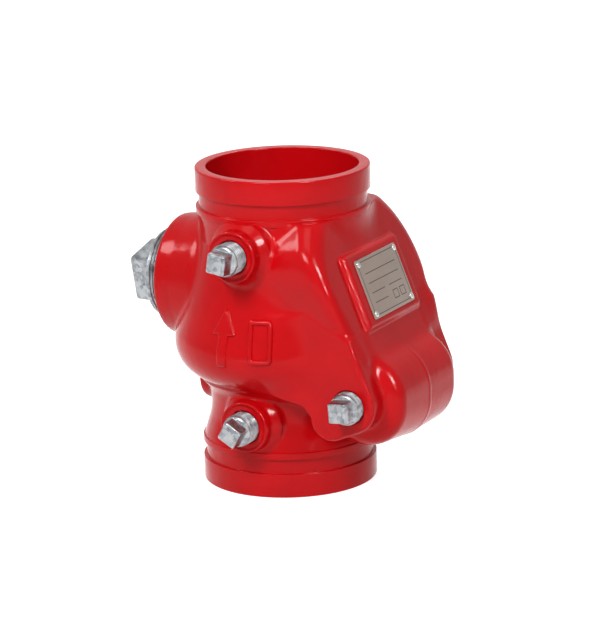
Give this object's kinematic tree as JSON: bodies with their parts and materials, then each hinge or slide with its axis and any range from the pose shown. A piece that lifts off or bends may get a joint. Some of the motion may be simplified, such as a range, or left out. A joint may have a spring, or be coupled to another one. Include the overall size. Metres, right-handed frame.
{
  "type": "swing non-return valve",
  "caption": "Grooved-end swing check valve in red enamelled iron, with a sprung clapper on a cross pin, square-headed port plugs, a drain plug on the side and a bare riveted nameplate",
  "frame": {"origin": "centre of the inlet end face, on the flow axis", "axes": "+Z is the flow, from inlet to outlet; +X is the side of the hinge and the nameplate, with the drain on -X; -Y carries the gauge ports"},
  "size_m": [0.2107, 0.1691, 0.2096],
  "materials": {
    "red_enamel_iron": "glossy red enamel over cast ductile iron",
    "grey_coated_iron": "ductile iron casting, machined face, thin grey coat",
    "turned_stainless": "turned stainless steel",
    "bearing_bronze": "plain bearing bronze",
    "black_rubber": "moulded black rubber",
    "spring_wire": "drawn stainless spring wire",
    "zinc_plated_steel": "zinc plated, forged and threaded steel",
    "plate_aluminium": "brushed aluminium sheet",
    "rivet_steel": "plain drive rivets"
  },
  "bodies": {
    "valve_body": {"body": "red_enamel_iron", "seat_ring": "turned_stainless", "seat_seal": "black_rubber", "hinge_spacer_front": "bearing_bronze", "hinge_spacer_rear": "bearing_bronze", "hinge_pin": "turned_stainless", "pin_bushing_front": "bearing_bronze", "pin_bushing_rear": "bearing_bronze", "closing_spring": "spring_wire", "hinge_plug_front": "zinc_plated_steel", "hinge_plug_rear": "zinc_plated_steel", "gauge_plug_inlet": "zinc_plated_steel", "gauge_plug_outlet": "zinc_plated_steel", "drain_plug": "zinc_plated_steel", "nameplate": "plate_aluminium", "nameplate_rivets": "rivet_steel"},
    "clapper_assembly": {"clapper": "grey_coated_iron", "clapper_facing": "black_rubber", "facing_retainer": "turned_stainless", "retainer_washer": "turned_stainless", "retainer_bolt": "turned_stainless", "arm_bushing_front": "bearing_bronze", "arm_bushing_rear": "bearing_bronze"}
  },
  "joints": [
    {"name": "clapper_swing", "type": "hinge", "parent": "valve_body", "child": "clapper_assembly", "pos_m": [0.0747, 0, 0.06891], "axis": [0, 1, 0], "range_deg": [0, 48], "stiffness_Nm_per_rad": 0.12, "springref_deg": -34.38, "deforming": ["closing_spring"]}
  ]
}
